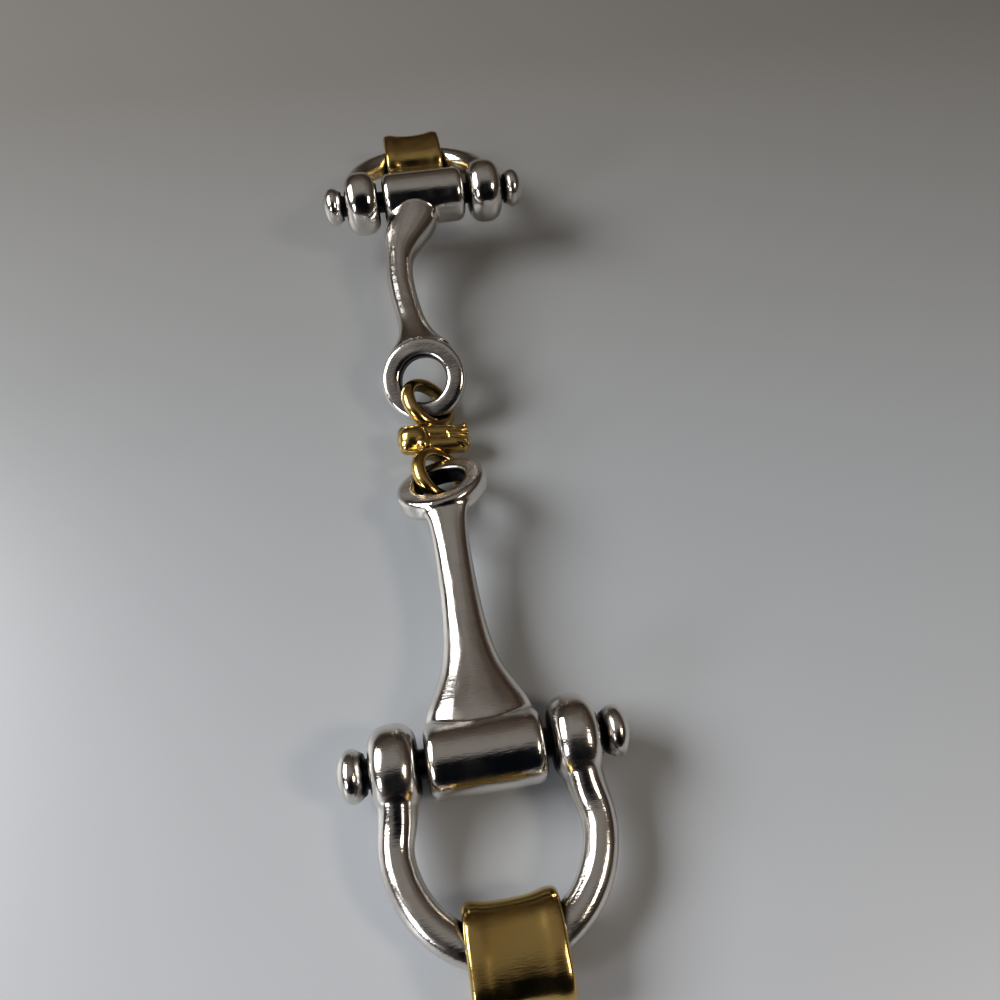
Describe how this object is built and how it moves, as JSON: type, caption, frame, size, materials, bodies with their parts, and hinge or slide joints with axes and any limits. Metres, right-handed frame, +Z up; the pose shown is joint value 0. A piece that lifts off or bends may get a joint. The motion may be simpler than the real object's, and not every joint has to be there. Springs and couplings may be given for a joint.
{
  "type": "snaffle bit chain link",
  "caption": "Jewellery chain link in the shape of a jointed snaffle bit, with U shackles on ball-ended pins, ring eyes, a centre link and strap keepers.",
  "frame": {"origin": "centre of the bounding box in plan, on the table that the link rests on", "axes": "+Y along the chain from the left keeper to the right keeper, +X along the hinge pins, +Z up from the table"},
  "size_m": [0.0148, 0.055, 0.0057],
  "materials": {
    "silver": "polished sterling silver with blackened recesses",
    "gold": "polished yellow gold"
  },
  "bodies": {
    "centre_link": {"centre_link_left_loop": "gold", "centre_link_right_loop": "gold", "centre_link_collar": "gold"},
    "left_bit": {"left_cannon": "silver"},
    "right_bit": {"right_cannon": "silver"},
    "left_bow": {"left_shackle": "silver", "left_hinge_pin": "silver", "left_pin_ball_front": "silver", "left_pin_ball_back": "silver"},
    "right_bow": {"right_shackle": "silver", "right_hinge_pin": "silver", "right_pin_ball_front": "silver", "right_pin_ball_back": "silver"},
    "left_strap": {"left_keeper": "gold"},
    "right_strap": {"right_keeper": "gold"}
  },
  "joints": [
    {"name": "left_eye_swing", "type": "hinge", "parent": "centre_link", "child": "left_bit", "pos_m": [-0.0009, -0.00233, 0.00138], "axis": [0.6428, 0, 0.766], "range_deg": [-25, 25]},
    {"name": "right_eye_swing", "type": "hinge", "parent": "centre_link", "child": "right_bit", "pos_m": [-0.0009, 0.00397, 0.0021], "axis": [0.181, 0.4917, -0.8517], "range_deg": [-35, 35]},
    {"name": "left_pin_hinge", "type": "hinge", "parent": "left_bit", "child": "left_bow", "pos_m": [-0.0009, -0.01763, 0.00195], "axis": [1, 0, 0], "range_deg": [-100, 100]},
    {"name": "left_keeper_swing", "type": "hinge", "parent": "left_bow", "child": "left_strap", "pos_m": [-0.0009, -0.02538, 0.00161], "axis": [-1, 0, 0], "range_deg": [-15, 15]},
    {"name": "right_pin_hinge", "type": "hinge", "parent": "right_bit", "child": "right_bow", "pos_m": [0.0009, 0.01797, 0.0038], "axis": [1, 0, 0], "range_deg": [-80, 100]},
    {"name": "right_keeper_swing", "type": "hinge", "parent": "right_bow", "child": "right_strap", "pos_m": [0.0009, 0.02538, 0.00153], "axis": [-1, 0, 0], "range_deg": [-1, 29]}
  ]
}
